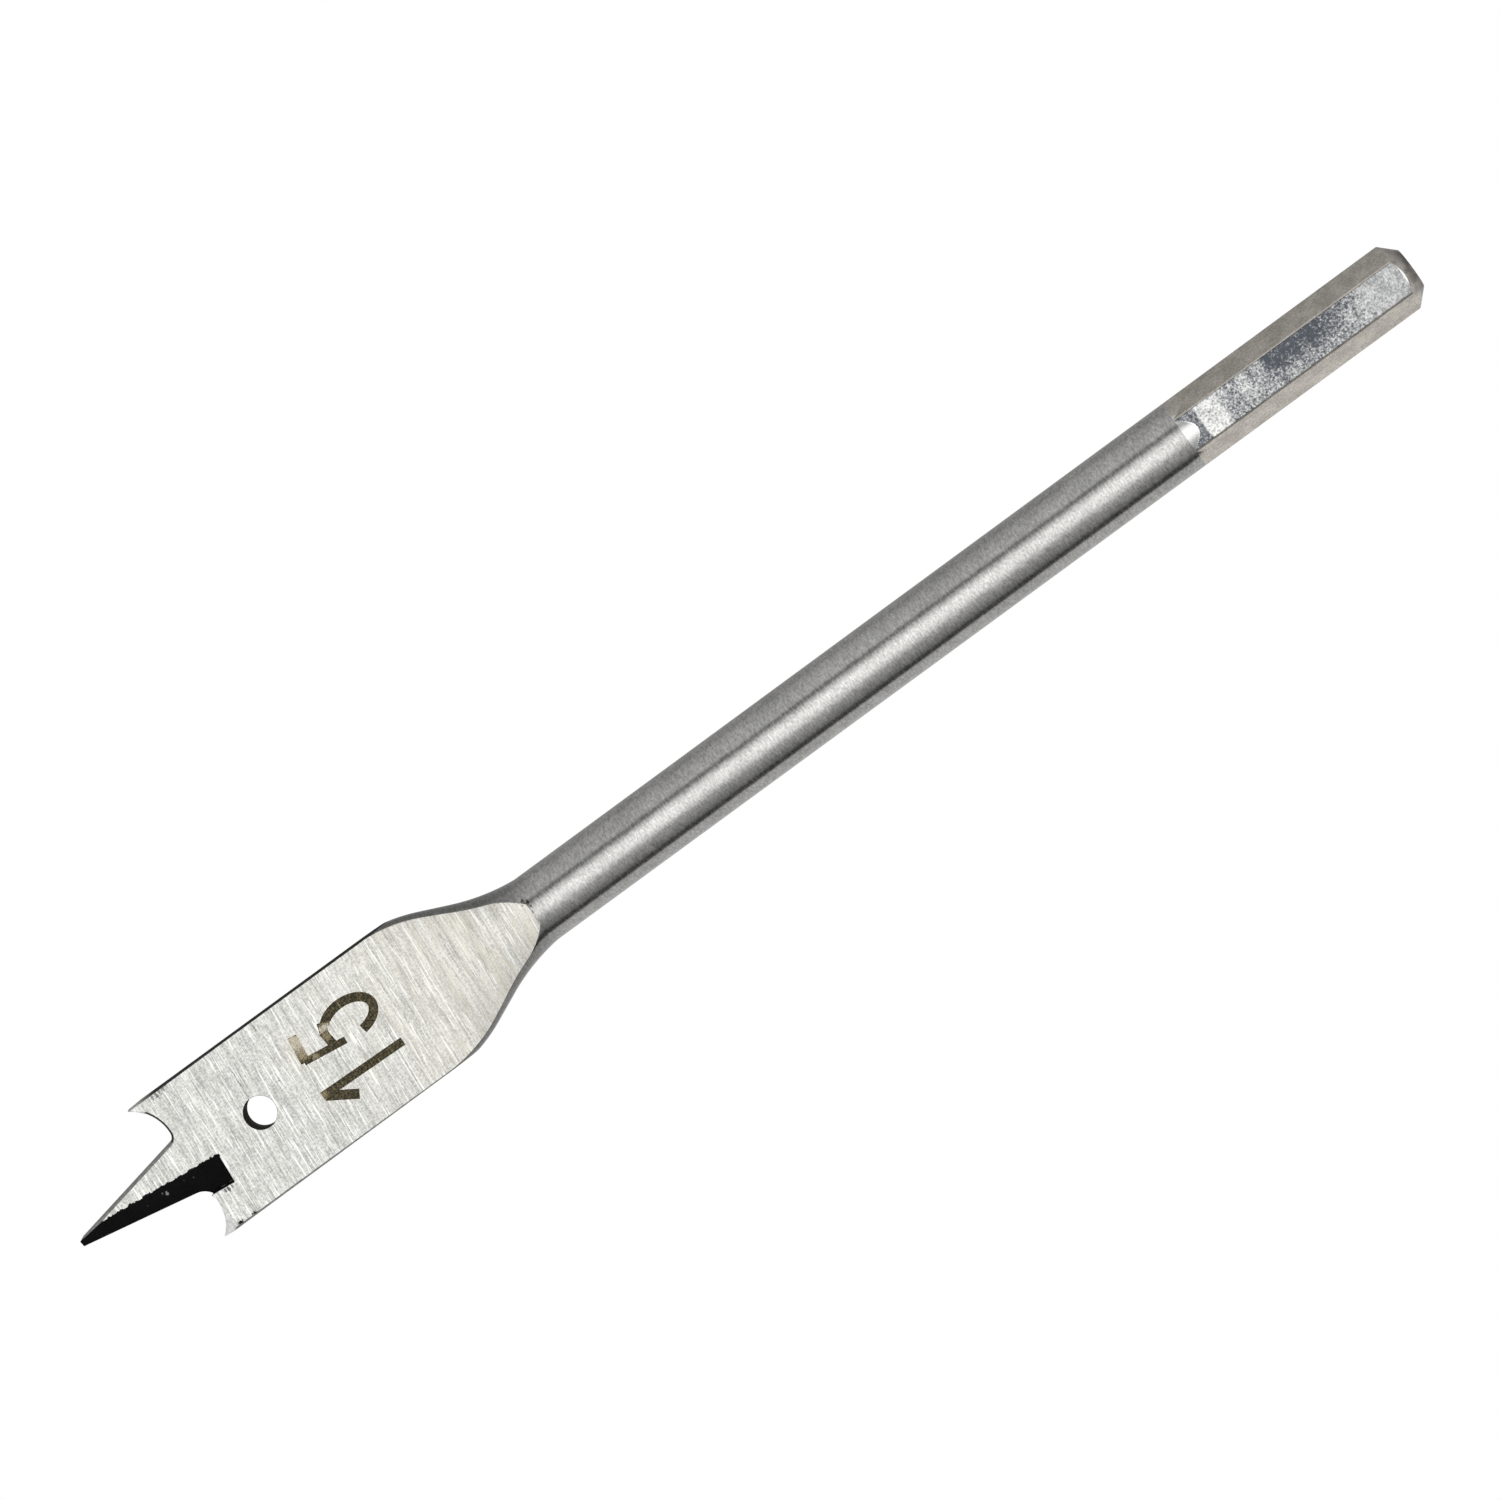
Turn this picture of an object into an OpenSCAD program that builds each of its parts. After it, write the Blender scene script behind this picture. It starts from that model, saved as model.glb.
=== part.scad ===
// Spade drill bit for boring wood: one bar of steel, forged flat at one end, then ground.
// The bit lies as it comes to rest, on its rod and on one edge of its blade.

/* [Rod] */
// Length from the tip of the point to the end of the shank
overall_length = 151.3; // [140:0.1:300]
// Diameter of the round rod
rod_d = 6.8; // [6.2:0.1:8]

/* [Blade] */
// Width across the two spurs, which is the size of the bored hole
blade_w = 15; // [14:0.25:16]
// Thickness between the two ground faces
blade_t = 2.4; // [1.8:0.1:3]
// Width lost along the ground sides, from the spurs to the shoulder
side_taper = 0.3; // [0:0.05:0.8]
// Clearance angle of the ground sides, behind their cutting corners
side_relief = 4; // [0:0.5:8]
// Stock that the grinding takes off each forged side
side_stock = 0.35; // [0.2:0.05:0.8]

/* [Point] */
// Width of the blunt tip
tip_w = 0.5; // [0.3:0.05:1.2]
// Angle between the point's flank and the axis
point_half_angle = 11; // [9:0.1:12]

/* [Cutting lips] */
// Distance from the tip to the deepest place of a lip
lip_depth = 12.96; // [12:0.02:15]
// Radius of the lip's hollow
lip_radius = 4.2; // [3.8:0.1:5]
// Distance from the axis to the middle of the lip's hollow
lip_offset = 3.85; // [3.6:0.05:4.4]
// Fillet between the first lip and the point's flank
lip_fillet = 0.9; // [0.3:0.1:1.4]
// Fillet at the second lip, which is ground rounder
second_fillet = 1.7; // [0.3:0.1:2]
// Clearance angle behind the lip's cutting edge
lip_relief = 5; // [2:1:20]
// Clearance angle behind the edge of the point's flank
flank_relief = 4; // [0:0.5:8]
// Length of the bevel that thins each spur, measured back from the spur's tip
bevel_length = 1.9; // [0.8:0.1:2.5]
// Angle of the spur's bevel to the blade's face
bevel_angle = 34; // [20:1:40]

/* [Rake gullets] */
// Distance from the tip to the gullet's end
gullet_end = 15.5; // [14:0.5:18.5]
// Width of the gullet, from its inner edge to its side wall
gullet_w = 3.02; // [2:0.02:3.4]
// Distance from the axis to the gullet's inner edge, at the gullet's end
gullet_inner = 0.77; // [0.4:0.01:1.2]
// Angle between the gullet and the axis
gullet_turn = 5.8; // [3:0.2:8]
// Slope of the gullet's floor, down towards the cutting edge
gullet_slope = 14; // [8:1:26]

/* [Hanging hole] */
// Diameter of the hole through the blade
hole_d = 3.2; // [2:0.1:5]
// Distance from the tip to the middle of the hole
hole_x = 21.05; // [19.5:0.05:33]

/* [Shoulder] */
// Distance from the tip to the corner where the sides turn in
shoulder_x = 41.5; // [40:0.5:60]
// Angle between the shoulder and the axis
shoulder_angle = 24; // [20:0.5:32]
// Radius that rounds the shoulder's outer corner
shoulder_round = 16; // [8:0.5:18]
// Radius of the neck, where the shoulder runs into the rod
neck_radius = 20; // [10:1:24]
// Radius of the sweep that lifts each ground face to the rod
sweep_radius = 35; // [25:1:45]
// Length of the sweep's run over the bare rod, past the shoulder's own end
sweep_past = 2.9; // [1:0.1:4]
// Radius of the forged side walls, as a multiple of half the thickness there
wall_bulge = 1.6; // [1.25:0.05:2]

/* [Shank] */
// Length of the hexagonal shank
hex_length = 25.1; // [20:0.1:35]
// Width of the shank across its flats
hex_af = 6; // [5.5:0.05:6.15]
// Length of the cone between the rod and the flats
hex_cone = 1.4; // [0.6:0.1:3]
// Chamfer at the shank's end
end_chamfer = 1.4; // [0.3:0.1:1.6]

/* [Hidden] */
$fn = 96;

rod_r = rod_d / 2;
half_t = blade_t / 2;
half_w = blade_w / 2;
spur_back_w = half_w - blade_t * tan(side_relief);
end_half_w = half_w - side_taper / 2;
slope = tan(shoulder_angle);
half_turn = tan(shoulder_angle / 2);
clear = 2 * blade_w;
overlap = 0.5;
start_turn = -30;

// Outline of the forged blank, seen square to the blade
blank_half_w = end_half_w + side_stock;
neck_sink = 0.08;
neck_r = rod_r - neck_sink;
corner_x = shoulder_x - side_stock / slope;
round_from = corner_x - shoulder_round * half_turn;
round_to = corner_x + shoulder_round * half_turn * cos(shoulder_angle);
shoulder_end = shoulder_x + (end_half_w - neck_r) / slope;
neck_from = shoulder_end - neck_radius * half_turn * cos(shoulder_angle);
neck_to = shoulder_end + neck_radius * half_turn;

// Sweep of the ground faces
sweep_rise = rod_r - half_t;
sweep_run = sqrt(pow(sweep_radius, 2) - pow(sweep_radius - sweep_rise, 2));
sweep_end = shoulder_end + sweep_past;
sweep_from = sweep_end - sweep_run;

// Shape of the forged blank between its stations
face_stock = 0.4;
station_step = 0.6;
wall_steps = 14;

// Shank
hex_from = overall_length - hex_length;
hex_corner_r = hex_af / sqrt(3);
hex_turn = 30;
cone_slope = (rod_r - hex_af / 2) / hex_cone;
end_r = rod_r - end_chamfer;

// Place of the lip's hollow, seen in the plane that the notch is ground in
hollow_x = lip_depth - lip_radius / cos(lip_relief);
spur_x = hollow_x + sqrt(pow(lip_radius, 2) - pow(half_w - lip_offset, 2)) / cos(lip_relief);
fillet_steps = 16;
lip_steps = 24;
flank_lean = sin(flank_relief) * sin(lip_relief);
flank_angle = atan((tan(point_half_angle) * cos(flank_relief) + flank_lean) / cos(lip_relief));

// Roll about the axis at which the rod and one blade edge touch the ground
edge_reach = norm([spur_back_w, half_t]);
rest_roll = asin(rod_r / edge_reach) - atan2(half_t, spur_back_w);

// Half width of the forged blank at a distance x from the tip
function blank_reach(x) =
    x < round_from ? blank_half_w
    : x < round_to ? blank_half_w - shoulder_round + sqrt(pow(shoulder_round, 2) - pow(x - round_from, 2))
    : x < neck_from ? end_half_w - (x - shoulder_x) * slope
    : x < neck_to ? neck_r + neck_radius - sqrt(pow(neck_radius, 2) - pow(neck_to - x, 2))
    : neck_r;

// Half thickness between the ground faces at a distance x from the tip
function face_height(x) =
    x < sweep_from ? half_t
    : half_t + sweep_radius - sqrt(pow(sweep_radius, 2) - pow(min(x - sweep_from, sweep_radius), 2));

// One side wall of the blank at a distance x: an arc, from the lower face up to the upper one
function wall_points(x) =
    let (reach = blank_reach(x))
    let (wall_r = min(reach, wall_bulge * face_height(x)))
    let (wall_top = min(wall_r, face_height(x) + face_stock))
    let (spread = asin(wall_top / wall_r))
    let (full = wall_top < wall_r ? spread : 90 - 90 / wall_steps)
    [for (i = [0 : wall_steps])
        let (turn = full * (2 * i / wall_steps - 1))
        [x, reach - wall_r + wall_r * cos(turn), wall_r * sin(turn)]];

// Points on an arc from one angle to another
function arc_points(middle, radius, from, to, steps) =
    [for (i = [0 : steps])
        let (turn = from + (to - from) * i / steps)
        middle + radius * [cos(turn), sin(turn)]];

// Whole section of the blank: a wall, and the same wall turned half round the axis
function section_points(x) =
    let (wall = wall_points(x))
    concat(wall, [for (p = wall) [p.x, -p.y, -p.z]]);

// Distances at which the blank's section is given
blank_end = neck_to + overlap;
station_count = ceil((blank_end - round_from) / station_step);
stations = concat(
    [-overlap],
    [for (i = [0 : station_count]) round_from + (blank_end - round_from) * i / station_count]);

// Skin through a row of closed sections, with a cap on the first and the last
module skin(sections) {
    rows = len(sections);
    ring = len(sections[0]);
    sides = [for (i = [0 : rows - 2], j = [0 : ring - 1])
        let (next = (j + 1) % ring)
        [[i * ring + j, (i + 1) * ring + next, i * ring + next],
         [i * ring + j, (i + 1) * ring + j, (i + 1) * ring + next]]];
    caps = [[for (j = [0 : ring - 1]) j], [for (j = [ring - 1 : -1 : 0]) (rows - 1) * ring + j]];
    polyhedron(
        points = [for (section = sections, p = section) p],
        faces = concat([for (pair = sides, face = pair) face], caps));
}

// Lays a round shape along the axis from a distance x, with its start turned off the blade's middle
module along_axis(x) {
    translate([x, 0, 0])
        rotate([0, 90, 0])
            rotate([0, 0, start_turn])
                children();
}

// The bar with its end forged wide and flat
module forged_bar() {
    skin([for (x = stations) section_points(x)]);
    along_axis(neck_from)
        cylinder(r = rod_r, h = hex_from + overlap - neck_from);
}

// Everything between the two ground faces, with the sweep that lifts them to the rod
module between_faces() {
    rotate([90, 0, 0])
        linear_extrude(height = clear, center = true)
            difference() {
                translate([-overlap, -clear / 2])
                    square([hex_from + 2 * overlap, clear]);
                for (side = [0, 1])
                    mirror([0, side])
                        face_waste();
            }
}

// Outline of what is ground off one face: a flat run, then the arc of the sweep
module face_waste() {
    translate([-clear, half_t])
        square([clear + sweep_from, 2 * sweep_radius]);
    translate([sweep_from, half_t + sweep_radius])
        circle(r = sweep_radius);
}

// Stock outside one ground side, leaning back from the corner that cuts
module side_waste() {
    lean = atan((half_w - end_half_w) / (shoulder_x - spur_x));
    translate([spur_x, half_w, -half_t])
        rotate([side_relief, 0, 0])
            rotate([0, 0, -lean])
                translate([-clear, 0, -clear])
                    cube([3 * clear, clear, 2 * clear]);
}

// Outline of one notch, about the middle of the lip's hollow
module notch_outline(fillet) {
    start = [-hollow_x * cos(lip_relief), tip_w / 2 - lip_offset];
    along = [cos(flank_angle), sin(flank_angle)];
    across = [-sin(flank_angle), cos(flank_angle)];
    middle_along = -start * along;
    middle_across = -start * across;
    fillet_reach = sqrt(pow(lip_radius - fillet, 2) - pow(middle_across - fillet, 2));
    fillet_at = start + along * (middle_along + fillet_reach) + across * fillet;
    flank_turn = flank_angle - 90;
    lip_turn = atan2(fillet_at.y, fillet_at.x);
    rounding = arc_points(fillet_at, fillet, flank_turn, lip_turn, fillet_steps);
    hollow = arc_points([0, 0], lip_radius, lip_turn, 90, lip_steps);
    polygon(concat(
        [start - along * clear],
        rounding,
        [for (i = [1 : lip_steps]) hollow[i]],
        [[0, clear], [-clear, clear]]));
}

// One notch between a spur and the point, ground by a tilted wheel
module notch(fillet) {
    translate([hollow_x, lip_offset, 0])
        rotate([0, lip_relief, 0])
            rotate([flank_relief, 0, 0])
                linear_extrude(height = clear, center = true)
                    notch_outline(fillet);
}

// Bevel that thins one spur from the blade's face
module spur_bevel() {
    translate([spur_x + bevel_length, -lip_offset, half_t])
        rotate([0, -bevel_angle, 0])
            translate([-clear, -clear, 0])
                cube([clear, clear, clear]);
}

// One rake gullet: a slot with a sloping floor, which gives the point and the lip a keen edge
module rake_gullet() {
    translate([gullet_end, -gullet_inner, half_t])
        rotate([0, 0, -gullet_turn])
            rotate([90, 0, -90])
                linear_extrude(height = clear)
                    polygon([
                        [0, 0],
                        [gullet_w, -gullet_w * tan(gullet_slope)],
                        [gullet_w, half_t],
                        [0, half_t]]);
}

// Through hole in the blade
module hanging_hole() {
    translate([hole_x, 0, 0])
        cylinder(d = hole_d, h = 2 * blade_t, center = true);
}

// Hexagonal shank, entered by a cone, with rounded corners and a chamfer at its end
module hex_shank() {
    along_axis(hex_from)
        intersection() {
            rotate([0, 0, hex_turn - start_turn])
                cylinder(r = hex_corner_r, h = hex_length, $fn = 6);
            rotate_extrude()
                polygon([
                    [0, 0],
                    [rod_r, 0],
                    [rod_r, hex_length - end_chamfer],
                    [end_r, hex_length],
                    [0, hex_length]]);
        }
    along_axis(hex_from)
        cylinder(r1 = rod_r, r2 = hex_af / 2 - cone_slope * overlap, h = hex_cone + overlap);
}

// The bit along its own axis: x from the tip, z square to the blade
module bit_on_axis() {
    difference() {
        intersection() {
            forged_bar();
            between_faces();
        }
        for (turn = [0, 180])
            rotate([turn, 0, 0]) {
                side_waste();
                notch(turn == 0 ? lip_fillet : second_fillet);
                spur_bevel();
                rake_gullet();
            }
        hanging_hole();
        translate([-2 * clear, -clear / 2, -clear / 2])
            cube([2 * clear, clear, clear]);
    }
    hex_shank();
}

module spade_bit() {
    color("silver")
        translate([-overall_length / 2, 0, rod_r])
            rotate([rest_roll, 0, 0])
                bit_on_axis();
}

spade_bit();
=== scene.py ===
"""Spade drill bit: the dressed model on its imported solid, lit and seen as a studio picture."""

import logging
from collections.abc import Callable, Iterable
from dataclasses import dataclass
from enum import Enum
from math import asin, atan2, cos, hypot, pi, radians, sin, tan, tau

import bmesh
import bpy
from mathutils import Matrix, Vector


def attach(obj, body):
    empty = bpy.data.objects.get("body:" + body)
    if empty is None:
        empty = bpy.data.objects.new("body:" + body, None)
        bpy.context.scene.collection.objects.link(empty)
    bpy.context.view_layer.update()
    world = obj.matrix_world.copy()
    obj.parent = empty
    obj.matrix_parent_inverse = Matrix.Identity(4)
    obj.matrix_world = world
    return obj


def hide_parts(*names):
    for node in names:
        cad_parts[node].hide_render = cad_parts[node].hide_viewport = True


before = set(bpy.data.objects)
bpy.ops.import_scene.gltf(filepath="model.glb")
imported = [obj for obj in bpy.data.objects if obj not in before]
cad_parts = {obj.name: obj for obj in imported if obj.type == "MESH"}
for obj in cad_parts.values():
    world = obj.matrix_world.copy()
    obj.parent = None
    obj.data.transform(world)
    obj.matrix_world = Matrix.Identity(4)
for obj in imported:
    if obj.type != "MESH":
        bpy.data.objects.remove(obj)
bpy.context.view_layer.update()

LOG = logging.getLogger("spade_bit")
MM = 0.001
NODE = "spade_bit"
BODY = "root"

Pair = tuple[float, float]
Triple = tuple[float, float, float]
Colour = Triple
# Start and end of a range, and the values that they are mapped to.
Span = tuple[float, float, float, float]
# Place along and across the bit, half width, half height and strength.
SpotAt = tuple[float, float, float, float, float]
Socket = bpy.types.NodeSocket
Sockets = dict[str, Socket]
Node = bpy.types.Node
Mesh = bpy.types.Mesh
Object = bpy.types.Object
BMesh = bmesh.types.BMesh

WHITE: Colour = (1.0, 1.0, 1.0)
NOISE_RANGE: Pair = (0.3, 0.7)


class Zone(Enum):
    """Parts of the bit's skin that were finished in different ways."""

    GROUND_FACE = "ground_face"
    GULLET_SCALE = "gullet_scale"
    CUT_WALL = "cut_wall"
    LIP_WALL = "lip_wall"
    SPUR = "spur"
    GROUND_SIDE = "ground_side"
    ROD = "rod"
    HEX_FRONT = "hex_front"
    HEX_SIDE = "hex_side"
    CONE = "cone"
    END_CHAMFER = "end_chamfer"
    HOLE = "hole"
    MARK = "mark"


@dataclass(frozen=True)
class BitFrame:
    """The bit's own frame in millimetres: x from the tip, y across the blade, z off its middle plane."""

    length: float = 151.3
    rod_r: float = 3.4
    half_w: float = 7.5
    half_t: float = 1.2
    side_relief: float = radians(4.0)

    @property
    def roll(self) -> float:
        """Roll at which the rod and one edge of the blade touch the ground."""
        back_w = self.half_w - 2 * self.half_t * tan(self.side_relief)
        reach = hypot(back_w, self.half_t)
        return asin(self.rod_r / reach) - atan2(self.half_t, back_w)

    @property
    def matrix(self) -> Matrix:
        """Matrix from the bit's millimetres to the row's metres."""
        place = Matrix.Translation(Vector((-self.length / 2, 0.0, self.rod_r)) * MM)
        return place @ Matrix.Rotation(self.roll, 4, "X") @ Matrix.Scale(MM, 4)

    def to_row(self, x: float, y: float, z: float) -> Vector:
        """Give a point of the bit, in its millimetres, as a row point in metres."""
        return self.matrix @ Vector((x, y, z))

    def to_bit(self, point: Vector) -> Vector:
        """Give a row point, in metres, in the bit's millimetres."""
        return self.matrix.inverted() @ point

    def turn_to_bit(self, direction: Vector) -> Vector:
        """Give a row direction in the bit's frame."""
        return Matrix.Rotation(-self.roll, 3, "X") @ direction


BIT = BitFrame()


@dataclass(frozen=True)
class Gullet:
    """Rake gullet of each face: slightly turned, with a floor that slopes down from its inner edge."""

    end: float = 15.5
    inner: float = 0.77
    width: float = 3.02
    turn: float = radians(5.8)
    slope: float = radians(14.0)
    slack: float = 0.03
    skin: float = 0.01

    def holds(self, point: Vector) -> bool:
        """Say whether a point of the bit lies on the gullet's floor or on a wall of it.

        Args:
            point: The point, in the bit's millimetres.

        Returns:
            Whether it does.
        """
        side = 1.0 if point.z > 0 else -1.0
        x, y = point.x - self.end, side * point.y + self.inner
        along = x * cos(self.turn) - y * sin(self.turn)
        across = x * sin(self.turn) + y * cos(self.turn)
        depth = BIT.half_t - abs(point.z)
        floor = -across * tan(self.slope)
        inside = along < self.slack and -self.width - self.slack < across < self.slack
        return inside and self.skin < depth < floor + self.slack


GULLET = Gullet()


class NodeSheet:
    """A node tree with short calls to add and join its nodes."""

    def __init__(self, tree: bpy.types.NodeTree) -> None:
        """Keep the tree and empty it."""
        self.tree = tree
        tree.nodes.clear()

    def add(self, kind: str, inputs: dict[str | int, object] | None = None, **settings: object) -> Node:
        """Add a node.

        Args:
            kind: Blender's type name of the node.
            inputs: A value or a socket for each named or numbered input.
            **settings: Properties of the node itself.

        Returns:
            The new node.
        """
        node = self.tree.nodes.new(kind)
        for name, value in settings.items():
            setattr(node, name, value)
        for key, value in (inputs or {}).items():
            self.feed(node.inputs[key], value)
        return node

    def feed(self, socket: Socket, value: object) -> None:
        """Set a socket to a value or a colour, or link it to another socket."""
        if isinstance(value, Socket):
            self.tree.links.new(value, socket)
        else:
            socket.default_value = rgba(value) if socket.type == "RGBA" else value

    def math(self, operation: str, a: object, b: object = 0.0, clamp: bool = False) -> Socket:
        """Add a Math node and give its result."""
        return self.add("ShaderNodeMath", {0: a, 1: b}, operation=operation, use_clamp=clamp).outputs[0]

    def product(self, level: object, *factors: object) -> Socket:
        """Multiply a level by each factor in turn."""
        for factor in factors:
            level = self.math("MULTIPLY", level, factor)
        return level

    def gather(self, level: object, *terms: tuple[object, float]) -> Socket:
        """Add to a level each term's value times its weight, in turn."""
        for value, weight in terms:
            level = self.math("ADD", level, self.math("MULTIPLY", value, weight))
        return level

    def vector(self, operation: str, a: Socket, b: Socket) -> Socket:
        """Add a Vector Math node and give its result."""
        return self.add("ShaderNodeVectorMath", {0: a, 1: b}, operation=operation).outputs[0]

    def mix(self, factor: object, a: object, b: object, blend: str = "MIX") -> Socket:
        """Mix two colours and give the result."""
        node = self.add("ShaderNodeMix", {0: factor, 6: a, 7: b}, data_type="RGBA", blend_type=blend)
        return node.outputs[2]

    def tint(self, colour: Colour, level: Socket) -> Socket:
        """Multiply a colour by a level."""
        grey = self.add("ShaderNodeCombineXYZ", {0: level, 1: level, 2: level})
        return self.mix(1.0, colour, grey.outputs[0], "MULTIPLY")

    def span(self, value: object, low: float, high: float, to_low: float = 0, to_high: float = 1) -> Socket:
        """Map a value's range onto another, with smooth ends."""
        inputs = {"Value": value, "From Min": low, "From Max": high, "To Min": to_low, "To Max": to_high}
        return self.add("ShaderNodeMapRange", inputs, interpolation_type="SMOOTHSTEP").outputs[0]

    def vary(self, noise: Socket, share: float, middle: float = 1.0) -> Socket:
        """Turn a noise into a level about a middle, by up to a share of it more or less."""
        return self.span(noise, *NOISE_RANGE, middle * (1 - share), middle * (1 + share))

    def noise(self, vector: Socket, scale: float, detail: float, rough: float) -> Socket:
        """Add a noise texture and give its value."""
        inputs = {"Vector": vector, "Scale": scale, "Detail": detail, "Roughness": rough}
        return self.add("ShaderNodeTexNoise", inputs).outputs[0]

    def stretch(self, vector: Socket, scale: Triple) -> Socket:
        """Scale a position along each axis."""
        return self.add("ShaderNodeMapping", {"Vector": vector, "Scale": scale}).outputs[0]


def rgba(colour: Colour) -> tuple[float, float, float, float]:
    """Add a full alpha to a colour."""
    return (*colour, 1.0)


class ShaderGroup:
    """A shader node group that is built once and placed in many materials."""

    name = "group"
    inputs: dict[str, float] = {}
    outputs: tuple[str, ...] = ()

    @classmethod
    def tree(cls) -> bpy.types.NodeTree:
        """Give the group's tree, and build it on first use.

        Returns:
            The tree.
        """
        made = bpy.data.node_groups.get(cls.name)
        if made:
            return made
        made = bpy.data.node_groups.new(cls.name, "ShaderNodeTree")
        for name, value in cls.inputs.items():
            socket = made.interface.new_socket(name, in_out="INPUT", socket_type="NodeSocketFloat")
            socket.default_value = value
        for name in cls.outputs:
            kind = "NodeSocketVector" if name == "Position" else "NodeSocketFloat"
            made.interface.new_socket(name, in_out="OUTPUT", socket_type=kind)
        sheet = NodeSheet(made)
        source = dict(made.nodes.new("NodeGroupInput").outputs.items())
        target = made.nodes.new("NodeGroupOutput")
        for name, socket in cls.wire(sheet, source).items():
            sheet.feed(target.inputs[name], socket)
        return made

    @classmethod
    def wire(cls, sheet: NodeSheet, source: Sockets) -> Sockets:
        """Make the group's nodes.

        Args:
            sheet: The group's own tree.
            source: The group's inputs by their names.

        Returns:
            The socket for each of the group's outputs.
        """
        raise NotImplementedError

    @classmethod
    def place(cls, sheet: NodeSheet, **values: object) -> Sockets:
        """Put the group in a material, with a value for each named input, and give its outputs."""
        return dict(sheet.add("ShaderNodeGroup", values, node_tree=cls.tree()).outputs.items())


class BitSpace(ShaderGroup):
    """Position on the bit in millimetres, in the bit's own frame."""

    name = "bit_space"
    outputs = ("Position", "X", "Y", "Z")

    @classmethod
    def wire(cls, sheet: NodeSheet, source: Sockets) -> Sockets:
        """Turn the object's coordinates back into the bit's frame."""
        inputs = {
            "Vector": sheet.add("ShaderNodeTexCoord").outputs["Object"],
            "Location": BIT.matrix.inverted().to_translation(),
            "Rotation": (-BIT.roll, 0.0, 0.0),
            "Scale": (1 / MM, 1 / MM, 1 / MM),
        }
        placed = sheet.add("ShaderNodeMapping", inputs).outputs[0]
        parts = sheet.add("ShaderNodeSeparateXYZ", {0: placed}).outputs
        return dict(zip(cls.outputs, (placed, *parts)))


class Streaks(ShaderGroup):
    """Grinding streaks that run across the bit: a tone, masks of bright and dark lines, and a height."""

    name = "grinding_streaks"
    inputs = {"Across": 0.1, "Seed": 0.0}
    outputs = ("Tone", "Bright", "Dark", "Height")
    # Tilt in degrees, scale per millimetre, detail and roughness: fine, medium, broad and sharp.
    FAMILIES = ((4.0, 13.0, 2.0, 0.6), (5.4, 5.0, 2.0, 0.55), (4.6, 1.1, 1.0, 0.5), (5.8, 8.0, 1.0, 0.4))
    SHARES = (0.42, 0.38, 0.2)
    BRIGHT = (0.60, 0.67)
    DARK = (0.37, 0.29)

    @classmethod
    def wire(cls, sheet: NodeSheet, source: Sockets) -> Sockets:
        """Lay streaks of several widths, each family at its own small tilt."""
        place = BitSpace.place(sheet)
        seeded = sheet.add("ShaderNodeCombineXYZ", {2: source["Seed"]})
        thin = source["Across"]
        across = sheet.add("ShaderNodeCombineXYZ", {0: 1.0, 1: thin, 2: thin})

        def family(turn: float, scale: float, detail: float, rough: float) -> Socket:
            """One family of streaks at a tilt in degrees and a scale per millimetre."""
            tilt = (0.0, 0.0, radians(turn))
            tilted = sheet.add("ShaderNodeMapping", {"Vector": place["Position"], "Rotation": tilt})
            drawn = sheet.vector("MULTIPLY", tilted.outputs[0], across.outputs[0])
            return sheet.noise(sheet.vector("ADD", drawn, seeded.outputs[0]), scale, detail, rough)

        fine, medium, broad, sharp = (family(*row) for row in cls.FAMILIES)
        tone = sheet.gather(0.0, *zip((fine, medium, broad), cls.SHARES))
        bright = sheet.span(sharp, *cls.BRIGHT)
        dark = sheet.span(medium, *cls.DARK)
        height = sheet.math("SUBTRACT", sheet.math("ADD", fine, medium), bright)
        return {"Tone": tone, "Bright": bright, "Dark": dark, "Height": height}


class Speckle(ShaderGroup):
    """Fine metal grain, slow patches, and a mask of sparse pits."""

    name = "metal_speckle"
    inputs = {"Scale": 6.0, "Pits": 0.7}
    outputs = ("Grain", "Patch", "Pit")
    # Scale, detail and roughness of the grain, the patches and the spots that are pitted.
    NOISES = ((1.0, 3.0, 0.6), (0.12, 2.0, 0.5), (0.45, 1.0, 0.5))
    PIT_EDGE = 0.05

    @classmethod
    def wire(cls, sheet: NodeSheet, source: Sockets) -> Sockets:
        """Lay a fine grain, slow patches and rare pits."""
        place = BitSpace.place(sheet)
        inputs = {0: place["Position"], 3: source["Scale"]}
        scaled = sheet.add("ShaderNodeVectorMath", inputs, operation="SCALE").outputs[0]
        grain, patch, spots = (sheet.noise(scaled, *row) for row in cls.NOISES)
        pits = source["Pits"]
        edge = sheet.math("ADD", pits, cls.PIT_EDGE)
        pit = sheet.add("ShaderNodeMapRange", {"Value": spots, "From Min": pits, "From Max": edge})
        return {"Grain": grain, "Patch": patch, "Pit": pit.outputs[0]}


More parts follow.
